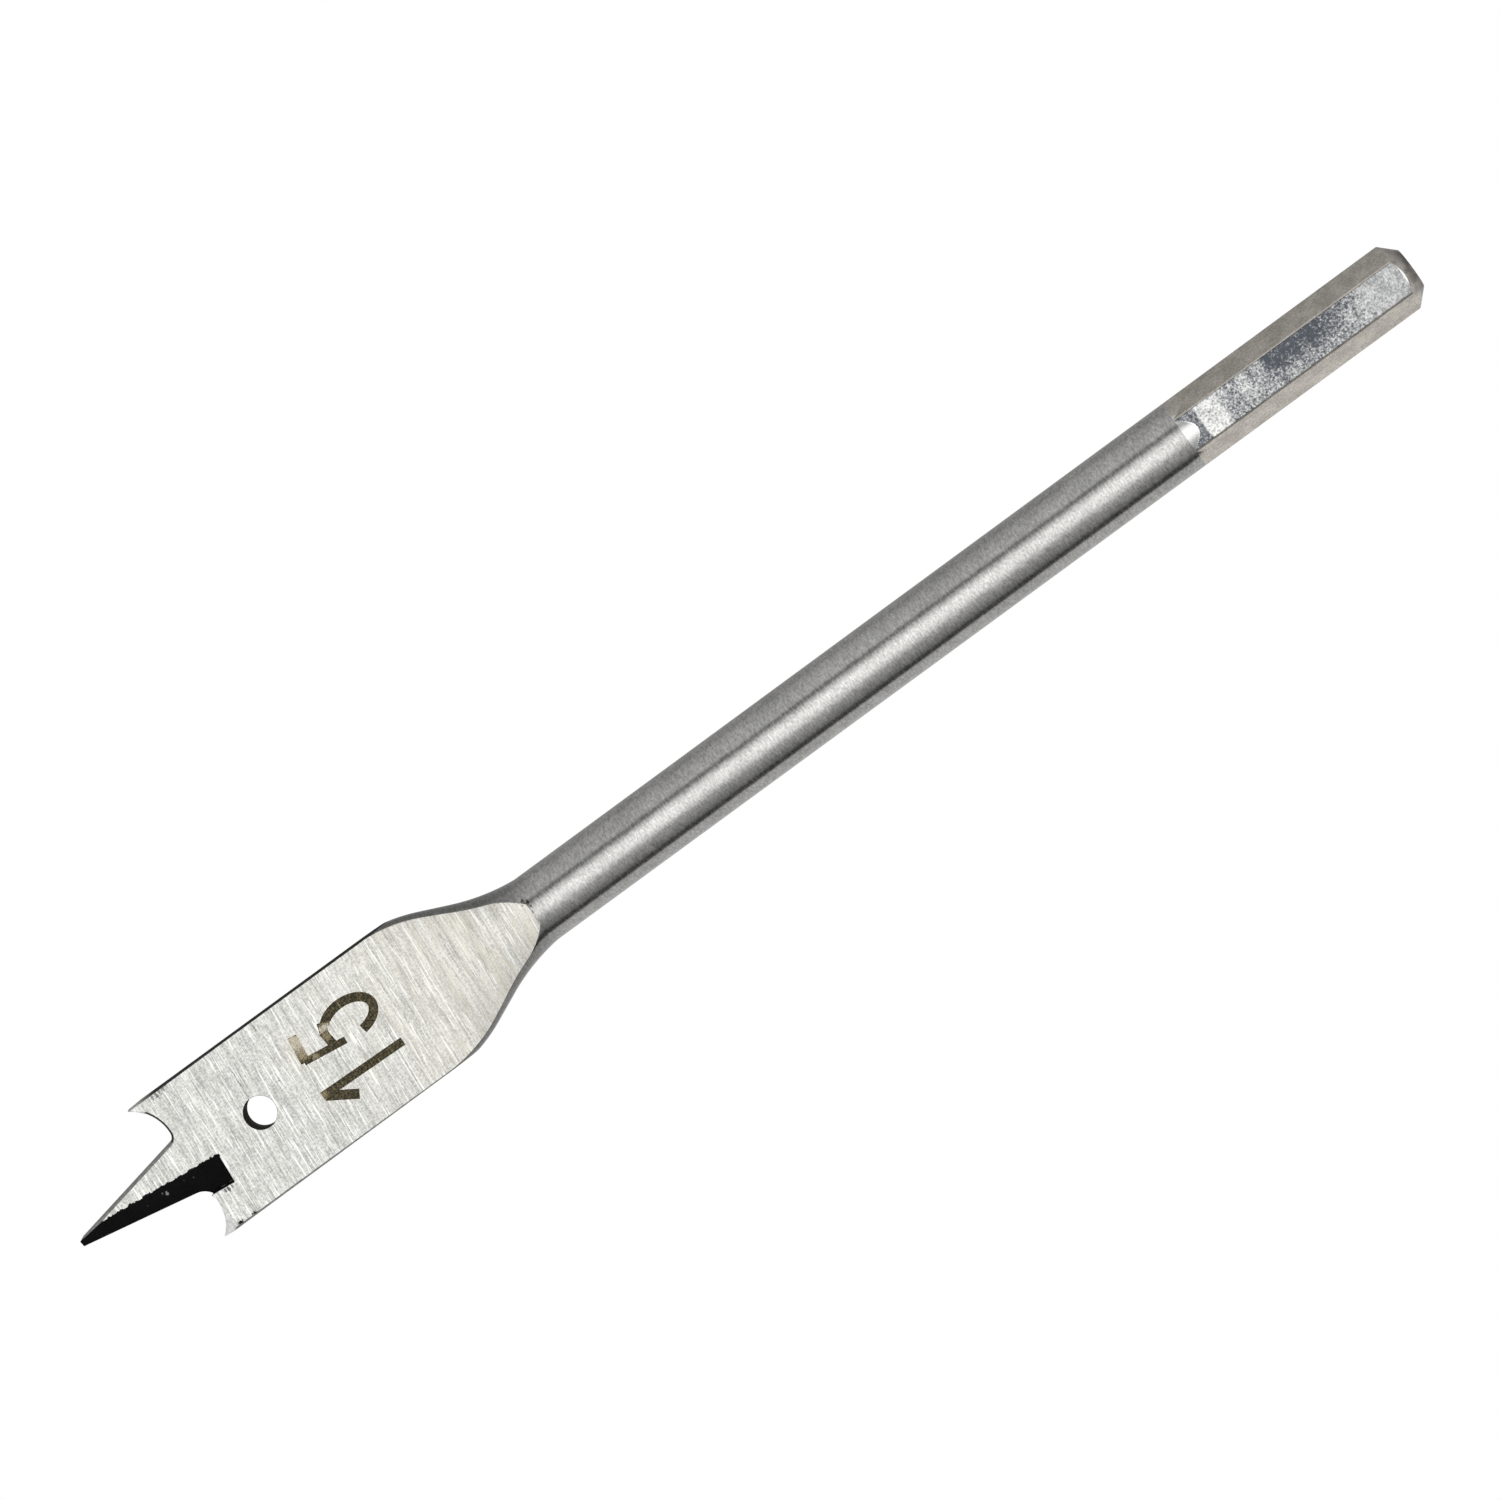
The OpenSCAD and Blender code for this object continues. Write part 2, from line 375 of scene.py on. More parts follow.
class Spot(ShaderGroup):
    """Mask of one ragged spot on the front face, at a place and with a half width and half height."""

    name = "ragged_spot"
    inputs = {"X": 0.0, "Y": 0.0, "Wide": 0.2, "High": 0.2}
    outputs = ("Mask",)
    RAG_NOISE = (9.0, 2.0, 0.6)
    RAG = (0.25, 0.75, -0.5, 0.5)
    RIM = (1.0, 0.6)

    @classmethod
    def wire(cls, sheet: NodeSheet, source: Sockets) -> Sockets:
        """Measure how far off the spot's middle a point is, and break the rim up."""
        place = BitSpace.place(sheet)
        rag = sheet.span(sheet.noise(place["Position"], *cls.RAG_NOISE), *cls.RAG)
        squares = []
        for axis, half in (("X", "Wide"), ("Y", "High")):
            off = sheet.math("SUBTRACT", place[axis], source[axis])
            squares.append(sheet.math("POWER", sheet.math("DIVIDE", off, source[half]), 2.0))
        away = sheet.math("SQRT", sheet.math("ADD", *squares))
        mask = sheet.span(sheet.math("ADD", away, rag), *cls.RIM)
        return {"Mask": sheet.product(mask, sheet.math("GREATER_THAN", place["Z"], 0.0))}

    @classmethod
    def scatter(cls, sheet: NodeSheet, spots: Iterable[SpotAt]) -> Socket:
        """Join the masks of several spots, each weighed by its own strength.

        Args:
            sheet: The material's tree.
            spots: The spots.

        Returns:
            The joined mask.
        """
        total: object = 0.0
        for x, y, wide, high, strength in spots:
            spot = cls.place(sheet, X=x, Y=y, Wide=wide, High=high)
            total = sheet.math("MAXIMUM", total, sheet.product(spot["Mask"], strength))
        return total


@dataclass(frozen=True)
class Finish:
    """A finish of the steel, dressed as one material."""

    zone: Zone
    base: Colour = (0.5, 0.5, 0.49)
    roughness: float = 0.3
    metallic: float = 1.0
    specular: float = 0.5
    bump: float = 0.2
    bump_mm: float = 0.01

    def material(self) -> bpy.types.Material:
        """Make the finish's material, named for its zone.

        Returns:
            The material.
        """
        made = bpy.data.materials.new(self.zone.value)
        made.use_nodes = True
        sheet = NodeSheet(made.node_tree)
        shader = sheet.add(
            "ShaderNodeBsdfPrincipled",
            {"Metallic": self.metallic, "Roughness": self.roughness, "Specular IOR Level": self.specular},
        )
        sheet.add("ShaderNodeOutputMaterial", {"Surface": shader.outputs[0]})
        for name, value in self.paint(sheet).items():
            if name == "Height":
                inputs = {"Strength": self.bump, "Distance": self.bump_mm * MM, "Height": value}
                name, value = "Normal", sheet.add("ShaderNodeBump", inputs).outputs[0]
            sheet.feed(shader.inputs[name], value)
        made.diffuse_color = rgba(self.base)
        return made

    def paint(self, sheet: NodeSheet) -> Sockets:
        """Make the nodes that vary over the surface.

        Args:
            sheet: The material's tree.

        Returns:
            A socket for each input of the shader, and the height of the bump.
        """
        raise NotImplementedError


@dataclass(frozen=True)
class GroundFace(Finish):
    """Blade face from the grinding belt: pale, with streaks across it, nicked at its edges."""

    dark: Colour = (0.345, 0.343, 0.325)
    light: Colour = (0.69, 0.69, 0.66)
    line: Colour = (0.88, 0.88, 0.85)
    shade: Colour = (0.25, 0.245, 0.23)
    beige: Colour = (0.585, 0.55, 0.46)
    scale: Colour = (0.012, 0.012, 0.012)
    nicks: tuple[SpotAt, ...] = (
        (13.37, -7.22, 0.38, 0.36, 1.0), (14.95, -7.28, 0.34, 0.3, 1.0), (15.6, -7.4, 0.5, 0.12, 0.9),
        (16.9, -7.42, 0.4, 0.1, 0.8), (13.75, 7.1, 0.12, 0.42, 0.7), (14.2, 7.0, 0.17, 0.52, 0.75),
        (14.6, 7.1, 0.12, 0.45, 0.65), (15.05, 7.15, 0.15, 0.38, 0.7), (15.4, 7.25, 0.26, 0.14, 0.6),
        (14.0, -3.9, 0.12, 0.26, 0.75), (14.35, -4.0, 0.15, 0.34, 0.85), (14.75, -3.95, 0.12, 0.26, 0.7),
        (24.2, 1.35, 0.24, 0.06, 0.5), (23.6, 1.3, 0.16, 0.06, 0.4),
        (21.22, 4.6, 0.06, 0.8, 0.6), (21.13, 3.3, 0.06, 0.8, 0.6), (21.05, 2.2, 0.06, 0.7, 0.5),
        (25.4, 6.65, 0.07, 0.65, 0.6),
        (52.6, 1.2, 0.1, 0.1, 0.5), (52.4, 1.6, 0.12, 0.12, 0.5),
    )
    stains: tuple[SpotAt, ...] = ((27.3, 2.4, 1.6, 2.4, 0.3), (27.2, -2.6, 1.5, 1.2, 0.2))
    across: float = 0.045
    grain_scale: float = 5.5
    tone: Pair = (0.36, 0.64)
    dark_share: float = 0.45
    bright_share: float = 0.72
    pit_share: float = 0.45
    gloss: Span = (0.35, 0.65, 0.40, 0.28)
    cast_across: float = 0.03
    cast_seed: float = 5.0
    cast_along: Span = (24.0, 46.0, 0.0, 0.5)
    cast_streaks: Span = (0.42, 0.58, 0.1, 1.3)
    chip_noise: Triple = (2.0, 2.0, 0.6)
    chip_rag: Span = (0.25, 0.75, -1.08, 1.08)
    chip_mm: float = 0.13
    chip_rim: Pair = (0.5, 0.2)
    chip_past: float = 0.1
    chip_deep: float = -0.3

    def paint(self, sheet: NodeSheet) -> Sockets:
        """Streaks, bright and dark lines, a beige cast near the shoulder, nicks and chips."""
        place = BitSpace.place(sheet)
        streaks = Streaks.place(sheet, Across=self.across)
        speckle = Speckle.place(sheet, Scale=self.grain_scale)
        tinted = Streaks.place(sheet, Across=self.cast_across, Seed=self.cast_seed)
        both = sheet.math("ADD", streaks["Tone"], speckle["Grain"])
        tone = sheet.span(sheet.product(both, 0.5), *self.tone)
        colour = sheet.mix(tone, self.dark, self.light)
        colour = sheet.mix(sheet.product(streaks["Dark"], self.dark_share), colour, self.shade)
        colour = sheet.mix(sheet.product(streaks["Bright"], self.bright_share), colour, self.line)
        cast = sheet.product(
            sheet.span(place["X"], *self.cast_along),
            sheet.span(tinted["Tone"], *self.cast_streaks),
        )
        cast = sheet.math("MAXIMUM", cast, Spot.scatter(sheet, self.stains))
        colour = sheet.mix(cast, colour, self.beige)
        colour = sheet.mix(sheet.product(speckle["Pit"], self.pit_share), colour, self.shade)
        colour = sheet.mix(self.damage(sheet, place), colour, self.scale)
        rough = sheet.span(streaks["Tone"], *self.gloss)
        return {"Base Color": colour, "Roughness": rough, "Height": streaks["Height"]}

    def damage(self, sheet: NodeSheet, place: Sockets) -> Socket:
        """Mask of the dark nicks on the front face and of the chips along each gullet.

        Args:
            sheet: The material's tree.
            place: The position on the bit.

        Returns:
            The mask.
        """
        rag = sheet.span(sheet.noise(place["Position"], *self.chip_noise), *self.chip_rag)
        side = sheet.product(place["Y"], sheet.math("SIGN", place["Z"]))
        along = sheet.math("SUBTRACT", place["X"], GULLET.end)
        off = sheet.gather(
            0.0,
            (along, sin(GULLET.turn)),
            (sheet.math("ADD", side, GULLET.inner), cos(GULLET.turn)),
        )
        chips = sheet.math("ADD", sheet.math("DIVIDE", off, self.chip_mm), rag)
        chips = sheet.product(
            sheet.span(chips, *self.chip_rim),
            sheet.math("LESS_THAN", along, self.chip_past),
            sheet.math("GREATER_THAN", off, self.chip_deep),
        )
        return sheet.math("MAXIMUM", Spot.scatter(sheet, self.nicks), chips)


@dataclass(frozen=True)
class GulletScale(Finish):
    """Black forging scale left in the rake gullet."""

    flake: Colour = (0.4, 0.4, 0.4)
    flakes: tuple[SpotAt, ...] = (
        (9.35, -0.95, 0.16, 0.24, 0.7), (9.0, -0.7, 0.07, 0.1, 0.4), (12.3, -1.2, 0.05, 0.12, 0.25),
        (11.4, -0.9, 0.05, 0.1, 0.2), (7.2, -0.85, 0.05, 0.08, 0.2), (14.0, -3.5, 0.3, 0.06, 0.2),
        (14.8, -3.55, 0.2, 0.05, 0.2),
    )
    grain_scale: float = 5.0
    grain: Pair = (0.3, 0.8)
    paler: float = 2.2
    gloss: Pair = (0.6, 0.8)

    def paint(self, sheet: NodeSheet) -> Sockets:
        """Near-black scale with a few bare chips."""
        speckle = Speckle.place(sheet, Scale=self.grain_scale)
        grain = sheet.span(speckle["Grain"], *self.grain)
        colour = sheet.mix(grain, self.base, tuple(self.paler * c for c in self.base))
        colour = sheet.mix(Spot.scatter(sheet, self.flakes), colour, self.flake)
        rough = sheet.span(speckle["Patch"], *NOISE_RANGE, *self.gloss)
        return {"Base Color": colour, "Roughness": rough, "Height": speckle["Grain"]}


@dataclass(frozen=True)
class RodSteel(Finish):
    """Drawn and forged bar: short streaks round it, duller where the forging spread it."""

    forged: Span = (49.0, 55.5, 0.5, 1.0)
    pitted: Colour = (0.03, 0.03, 0.03)
    nicks: tuple[SpotAt, ...] = (
        (52.85, 1.55, 0.2, 0.2, 0.8), (53.2, 1.2, 0.17, 0.22, 0.85), (53.25, 0.7, 0.14, 0.2, 0.75),
        (53.1, 0.2, 0.12, 0.18, 0.6), (52.95, -0.3, 0.1, 0.15, 0.4),
    )
    streak_scale: Triple = (6.0, 1.8, 1.8)
    streak_noise: Triple = (1.0, 3.0, 0.65)
    cloud_noise: Triple = (0.5, 2.0, 0.5)
    streaky: float = 0.22
    cloudy: float = 0.06
    grain: float = 0.14
    grain_scale: float = 5.0
    pits: float = 0.76
    pit_share: float = 0.4
    uneven: float = 0.15

    def paint(self, sheet: NodeSheet) -> Sockets:
        """Fine grain and short streaks round the bar."""
        place = BitSpace.place(sheet)
        speckle = Speckle.place(sheet, Scale=self.grain_scale, Pits=self.pits)
        streaks = sheet.noise(sheet.stretch(place["Position"], self.streak_scale), *self.streak_noise)
        cloud = sheet.noise(place["Position"], *self.cloud_noise)
        dull = sheet.product(speckle["Pit"], self.pit_share)
        level = sheet.product(
            sheet.vary(streaks, self.streaky),
            sheet.vary(speckle["Grain"], self.grain),
            sheet.vary(cloud, self.cloudy),
            sheet.span(place["X"], *self.forged),
            sheet.math("SUBTRACT", 1.0, dull),
        )
        colour = sheet.tint(self.base, level)
        colour = sheet.mix(Spot.scatter(sheet, self.nicks), colour, self.pitted)
        rough = sheet.vary(streaks, self.uneven, self.roughness)
        return {"Base Color": colour, "Roughness": rough, "Height": streaks}


@dataclass(frozen=True)
class PlainSteel(Finish):
    """Steel with a fine grain and slow patches of tone."""

    grain: float = 0.25
    patch: float = 0.15
    grain_scale: float = 8.0
    lines: float = 0.0
    line_across: float = 0.25
    line_seed: float = 7.0
    line_range: Pair = (0.38, 0.62)
    line_height: float = 0.7
    pits: float = 0.78
    pit_share: float = 0.55
    # A level along the bit: painted shade on the end chamfer, darker towards the end; on the blade's sides it
    # darkens them from 11.6 to 14.2 mm from the tip.
    fade: Span = (0.0, 1.0, 1.0, 1.0)
    # Painted light: a level for the side facets towards -y, lighter there.
    lower_side_light: float = 1.0
    lower_side_light_soft: Pair = (0.5, -0.5)
    uneven: float = 0.15

    def paint(self, sheet: NodeSheet) -> Sockets:
        """Grain and patches about the base colour, with faint streaks and pits."""
        place = BitSpace.place(sheet)
        speckle = Speckle.place(sheet, Scale=self.grain_scale, Pits=self.pits)
        streaks = Streaks.place(sheet, Across=self.line_across, Seed=self.line_seed)
        dull = sheet.product(speckle["Pit"], self.pit_share)
        level = sheet.product(
            sheet.vary(speckle["Grain"], self.grain),
            sheet.vary(speckle["Patch"], self.patch),
            sheet.span(streaks["Tone"], *self.line_range, 1 - self.lines, 1 + self.lines),
            # Painted shade along the end chamfer; on the blade's sides this level darkens them from 11.6 to
            # 14.2 mm from the tip.
            sheet.span(place["X"], *self.fade),
            # Painted light: lighter facets towards -y on the hex's sides.
            sheet.span(place["Y"], *self.lower_side_light_soft, 1.0, self.lower_side_light),
            sheet.math("SUBTRACT", 1.0, dull),
        )
        rough = sheet.vary(speckle["Patch"], self.uneven, self.roughness)
        height = sheet.gather(speckle["Grain"], (streaks["Tone"], self.line_height))
        return {"Base Color": sheet.tint(self.base, level), "Roughness": rough, "Height": height}


@dataclass(frozen=True)
class HexFront(Finish):
    """Bright flat of the shank, dented all over, its glints painted into the colour: painted reflections in
    fields along it, a painted highlight at its end and painted shade at its start.
    """

    # The glints' two colours: dark and bright stand in for the flat's reflections, as painted reflection.
    dark: Colour = (0.066, 0.073, 0.086)
    bright: Colour = (0.74, 0.74, 0.72)
    grain_scale: float = 5.2
    line_across: float = 0.3
    line_seed: float = 3.0
    patch_scale: Triple = (1.6, 0.8, 0.8)
    patch_noise: Triple = (1.0, 2.0, 0.6)
    # Ranges along the bit over which each field of painted reflection on the flat comes, and then goes; the
    # rim field is a painted highlight at the flat's end.
    near: Pair = (131.0, 130.4)
    near_rag: float = 0.5
    stripe: tuple[Pair, Pair] = ((132.4, 132.9), (133.8, 133.3))
    dark_reflection: tuple[Pair, Pair] = ((135.2, 136.0), (146.2, 139.5))
    dark_reflection_side: Span = (-0.9, 0.8, 0.15, 1.0)
    last: Pair = (143.0, 147.2)
    rim: Pair = (150.12, 150.2)
    calm: Span = (144.0, 147.5, 1.1, 0.55)
    # Weights of the patches, the lines and the five fields of painted reflection in their order.
    patch_share: float = 0.25
    line_share: float = 0.45
    field_shares: tuple[float, ...] = (0.17, 0.06, -0.22, 0.05, 0.5)
    painted_glints: Pair = (0.62, 1.26)
    # A strip of painted shade across the flat's start, bowed across it, where the flat runs out of the cone.
    run_out_shade_x: float = 128.1
    run_out_shade_bow: float = 0.06
    run_out_shade_rag: float = 0.3
    run_out_shade_soft: Pair = (0.3, 0.0)
    run_out_shade_grain: Span = (0.3, 0.75, 1.0, 0.55)
    gloss: Pair = (0.2, 0.32)

    def paint(self, sheet: NodeSheet) -> Sockets:
        """Painted glints between bright and dark blue-grey, in uneven fields of painted reflection along the
        flat, with a strip of painted shade at its start.
        """
        place = BitSpace.place(sheet)
        x, y = place["X"], place["Y"]
        speckle = Speckle.place(sheet, Scale=self.grain_scale)
        streaks = Streaks.place(sheet, Across=self.line_across, Seed=self.line_seed)
        patch = sheet.noise(sheet.stretch(place["Position"], self.patch_scale), *self.patch_noise)
        # Fields of painted reflection along the flat; the last is a painted highlight at its end.
        fields = (
            sheet.span(sheet.gather(x, (patch, self.near_rag)), *self.near),
            sheet.product(*(sheet.span(x, *part) for part in self.stripe)),
            sheet.product(*(sheet.span(x, *part) for part in self.dark_reflection), sheet.span(y, *self.dark_reflection_side)),
            sheet.span(x, *self.last),
            sheet.span(x, *self.rim),
        )
        centred = sheet.math("SUBTRACT", speckle["Grain"], 0.5)
        level = sheet.gather(
            sheet.product(centred, sheet.span(x, *self.calm)),
            (patch, self.patch_share),
            (streaks["Tone"], self.line_share),
        )
        level = sheet.gather(sheet.math("ADD", level, 0.5), *zip(fields, self.field_shares))
        # Painted glints: the level picks a colour between dark and bright for the flat's reflections.
        colour = sheet.mix(sheet.span(level, *self.painted_glints), self.dark, self.bright)
        # Painted shade: a dark strip across the flat's start, ragged and grainy.
        bow = sheet.product(y, y, self.run_out_shade_bow)
        edge = sheet.math("SUBTRACT", sheet.math("SUBTRACT", x, bow), self.run_out_shade_x)
        painted_run_out_shade = sheet.product(
            sheet.span(sheet.gather(edge, (patch, self.run_out_shade_rag)), *self.run_out_shade_soft),
            sheet.span(speckle["Grain"], *self.run_out_shade_grain),
        )
        colour = sheet.mix(painted_run_out_shade, colour, self.dark)
        rough = sheet.span(speckle["Patch"], *NOISE_RANGE, *self.gloss)
        return {"Base Color": colour, "Roughness": rough, "Height": level}


@dataclass(frozen=True)
class MarkStain(Finish):
    """Etched size mark, worn through in places."""

    pale: Colour = (0.74, 0.6, 0.33)
    worn: tuple[SpotAt, ...] = (
        (27.6, 3.3, 1.1, 1.1, 1.0), (27.6, 2.1, 0.8, 0.8, 0.55), (30.6, 2.85, 0.75, 0.42, 1.0),
        (30.35, 2.1, 0.5, 0.5, 0.4), (28.4, 1.2, 0.4, 0.3, 0.5), (26.8, -2.2, 0.6, 0.4, 0.45),
    )
    line_across: float = 0.12
    line_seed: float = 11.0
    grain_scale: float = 6.0
    patchy: Span = (0.3, 0.6, 0.55, 1.0)
    rubbed: Span = (0.56, 0.72, 0.0, 0.6)
    grainy: Span = (0.4, 0.75, 0.0, 0.22)
    cover: Span = (0.0, 1.0, 0.97, 0.3)

    def paint(self, sheet: NodeSheet) -> Sockets:
        """Olive-brown stain with streaks of bare steel through it."""
        streaks = Streaks.place(sheet, Across=self.line_across, Seed=self.line_seed)
        grain = Speckle.place(sheet, Scale=self.grain_scale)["Grain"]
        spots = sheet.product(Spot.scatter(sheet, self.worn), sheet.span(grain, *self.patchy))
        worn = sheet.math("ADD", sheet.span(streaks["Tone"], *self.rubbed), spots, clamp=True)
        colour = sheet.mix(worn, self.base, self.pale)
        colour = sheet.mix(sheet.span(grain, *self.grainy), colour, self.pale)
        alpha = sheet.span(worn, *self.cover)
        return {"Base Color": colour, "Alpha": alpha, "Height": streaks["Tone"]}


# Matte settings for the dark walls: the lip walls and the hole wall are near-black as painted shade; the
# blade's sides go from grey to near-black between 11.6 and 14.2 mm from the tip.
DULL = {"metallic": 0.0, "roughness": 0.8, "specular": 0.06, "grain": 0.4}

FINISHES: tuple[Finish, ...] = (
    GroundFace(Zone.GROUND_FACE, bump=0.2, bump_mm=0.008),
    GulletScale(
        Zone.GULLET_SCALE, base=(0.003, 0.003, 0.0033), metallic=0.0, roughness=0.7, specular=0.06,
        bump=0.4, bump_mm=0.03,
    ),
    PlainSteel(Zone.CUT_WALL, base=(0.34, 0.335, 0.32), roughness=0.35, lines=0.2),
    # The lip walls are near-black: painted shade.
    PlainSteel(Zone.LIP_WALL, base=(0.05, 0.05, 0.048), **DULL),
    PlainSteel(Zone.SPUR, base=(0.92, 0.92, 0.9), roughness=0.55, lines=0.15, grain=0.1),
    # The hole's wall is near-black: painted shade.
    PlainSteel(Zone.HOLE, base=(0.03, 0.028, 0.022), **DULL),
    PlainSteel(Zone.GROUND_SIDE, base=(0.5, 0.5, 0.48), fade=(11.6, 14.2, 1.0, 0.068), **DULL),
    RodSteel(Zone.ROD, base=(0.505, 0.5, 0.485), roughness=0.19, bump=0.06, bump_mm=0.006),
    HexFront(Zone.HEX_FRONT, bump=0.35, bump_mm=0.012),
    PlainSteel(Zone.CONE, base=(0.78, 0.78, 0.77), roughness=0.24, grain=0.1, patch=0.05),
    # The hex's side facets towards -y are a little lighter: painted light.
    PlainSteel(
        Zone.HEX_SIDE, base=(0.64, 0.60, 0.54), roughness=0.26, grain=0.2, patch=0.12, grain_scale=4.5,
        lower_side_light=1.1,
    ),
    # The end chamfer darkens towards the bit's end: painted shade.
    PlainSteel(
        Zone.END_CHAMFER, base=(0.58, 0.545, 0.5), roughness=0.25, grain=0.15, patch=0.3,
        fade=(150.2, 151.3, 1.0, 0.4),
    ),
    MarkStain(Zone.MARK, base=(0.026, 0.022, 0.009), metallic=0.1, roughness=0.5, specular=0.2, bump=0.1),
)


class FinishShelf:
    """Every finish's material, made once."""

    def __init__(self, finishes: Iterable[Finish]) -> None:
        """Make the material of each finish."""
        self.made = {finish.zone: finish.material() for finish in finishes}

    def dress(self, mesh: Mesh, zones: tuple[Zone, ...]) -> dict[Zone, int]:
        """Put the zones' materials on a mesh.

        Args:
            mesh: The mesh that gets the material slots.
            zones: The zones that it shows.

        Returns:
            The slot's number for each zone.
        """
        mesh.materials.clear()
        for zone in zones:
            mesh.materials.append(self.made[zone])
        return {zone: number for number, zone in enumerate(zones)}


def sort_faces(work: BMesh, numbers: dict[Zone, int], zone: Callable[[Vector, Vector], Zone]) -> None:
    """Give each face the material of its zone.

    Args:
        work: The mesh.
        numbers: The slot's number for each zone.
        zone: Tells a face's zone from its middle and normal in the bit's frame.
    """
    for face in work.faces:
        middle = BIT.to_bit(face.calc_center_median())
        face.material_index = numbers[zone(middle, BIT.turn_to_bit(face.normal))]


def close_tube(work: BMesh, rings: list[list[bmesh.types.BMVert]]) -> None:
    """Lay faces from ring to ring of a tube, and cap both of its ends.

    Args:
        work: The mesh.
        rings: The tube's rings, each with the same number of corners.
    """
    for near, far in zip(rings, rings[1:]):
        for j in range(len(near)):
            k = (j + 1) % len(near)
            work.faces.new((near[j], near[k], far[k], far[j]))
    work.faces.new(rings[0][::-1])
    work.faces.new(rings[-1])


def put(name: str, data: bpy.types.ID) -> Object:
    """Put a mesh or a camera in the scene.

    Args:
        name: The object's name.
        data: Its data.

    Returns:
        The object.
    """
    made = bpy.data.objects.new(name, data)
    bpy.context.scene.collection.objects.link(made)
    return made


def mount(name: str, mesh: Mesh) -> Object:
    """Make a mesh, laid in the row's frame, into a piece that rides on the bit's body.

    Args:
        name: The piece's name.
        mesh: Its mesh.

    Returns:
        The piece.
    """
    piece = put(name, mesh)
    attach(piece, BODY)
    LOG.info("%s: %d faces", name, len(mesh.polygons))
    return piece


@dataclass
class Blade:
    """The forged and ground blade with its neck, cut off on the round rod."""

    cut_x: float = 54.6
    hole_x: float = 21.05
    hole_r: float = 1.6
    hole_slack: float = 0.1
    # Where each zone starts or ends, and how far its normals may turn.
    wall: float = 0.5
    face_to: float = 53.7
    face_level: float = 0.9
    face_lean: float = 0.06
    spur_to: float = 13.5
    spur_level: float = 0.75
    lip_to: float = 14.0
    lip_from: float = 1.5
    rod_from: float = 41.0
    shoulder_from: float = 37.0
    shoulder_lean: float = 0.99
    side_from: float = 7.0
    side_lean: float = 0.98
    # Cleaning of the mesh.
    weld_mm: float = 0.004
    tiny_mm: float = 0.002
    passes: int = 2
    flat_turn: float = radians(0.4)
    crease: float = radians(32.0)
    level: float = 0.9999
    # Broken and rounded edges.
    lip_edge_mm: float = 0.22
    flank_edge_mm: float = 0.2
    broken_to: float = 6.3
    edge_mm: float = 0.035
    sharp_turn: float = radians(28.0)
    worn_to: float = 18.0
    edge_from: float = 7.1
    edge_x: float = 13.2
    edge_to: float = 42.0

    ZONES = (
        Zone.GROUND_FACE, Zone.GULLET_SCALE, Zone.CUT_WALL, Zone.LIP_WALL, Zone.SPUR, Zone.HOLE,
        Zone.GROUND_SIDE, Zone.ROD,
    )

    def zone(self, middle: Vector, normal: Vector) -> Zone:
        """Say how a face was finished.

        Args:
            middle: The face's middle in the bit's frame, in millimetres.
            normal: The face's normal in the bit's frame.

        Returns:
            The face's zone.
        """
        level, lean = abs(normal.z), abs(normal.y)
        if middle.z * normal.z < 0 and level > self.wall:
            return Zone.CUT_WALL
        if GULLET.holds(middle):
            return Zone.GULLET_SCALE
        if self.by_hole(middle, self.hole_slack) and level < self.wall:
            return Zone.HOLE
        if level > self.face_level and lean < self.face_lean and middle.x < self.face_to:
            return Zone.GROUND_FACE
        if level > self.spur_level and middle.x < self.spur_to:
            return Zone.SPUR
        ahead = normal.x < -self.wall and level < self.wall
        if ahead and middle.x < self.lip_to and abs(middle.y) > self.lip_from:
            return Zone.LIP_WALL
        if middle.x > self.rod_from or (middle.x > self.shoulder_from and lean < self.shoulder_lean):
            return Zone.ROD
        if lean > self.side_lean and abs(middle.y) > self.side_from:
            return Zone.GROUND_SIDE
        return Zone.CUT_WALL

    def by_hole(self, point: Vector, slack: float) -> bool:
        """Say whether a point lies within the hole's radius and a slack."""
        return hypot(point.x - self.hole_x, point.y) < self.hole_r + slack

    def copy_solid(self) -> BMesh:
        """Copy the solid's blade, cut off and closed on the rod, with its flat faces joined.

        Returns:
            The copy.
        """
        work = bmesh.new()
        work.from_mesh(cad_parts[NODE].data)
        bmesh.ops.remove_doubles(work, verts=work.verts, dist=self.weld_mm * MM)
        everything = [*work.verts, *work.edges, *work.faces]
        bmesh.ops.bisect_plane(
            work, geom=everything, plane_co=BIT.to_row(self.cut_x, 0, 0), plane_no=(1, 0, 0), clear_outer=True
        )
        bmesh.ops.edgeloop_fill(work, edges=[edge for edge in work.edges if edge.is_boundary])
        bmesh.ops.dissolve_limit(work, angle_limit=self.flat_turn, verts=work.verts, edges=work.edges)
        work.normal_update()
        return work

    def break_edge(self, work: BMesh, between: set[int], width: float, finish: int) -> None:
        """Break the trailing edges of the cutting end where a wall shows past the face; each broken edge
        takes its wall's colour, which along the lips is near-black painted shade.

        Args:
            work: The blade's mesh.
            between: Material numbers of the two faces that meet at such an edge.
            width: Width of the broken edge in millimetres.
            finish: Material number of the broken edge.
        """
        edges = []
        for edge in work.edges:
            middle = BIT.to_bit((edge.verts[0].co + edge.verts[1].co) / 2)
            meets = {face.material_index for face in edge.link_faces}
            behind = middle.y * middle.z > 0 and abs(middle.y) < self.broken_to
            if meets == between and middle.x < self.edge_x and behind:
                edges.append(edge)
        made = bmesh.ops.bevel(
            work, geom=edges, offset=width * MM, offset_type="OFFSET", segments=1, affect="EDGES",
            clamp_overlap=False,
        )
        # Along the lips the broken edge is near-black painted shade.
        for face in made["faces"]:
            face.material_index = finish

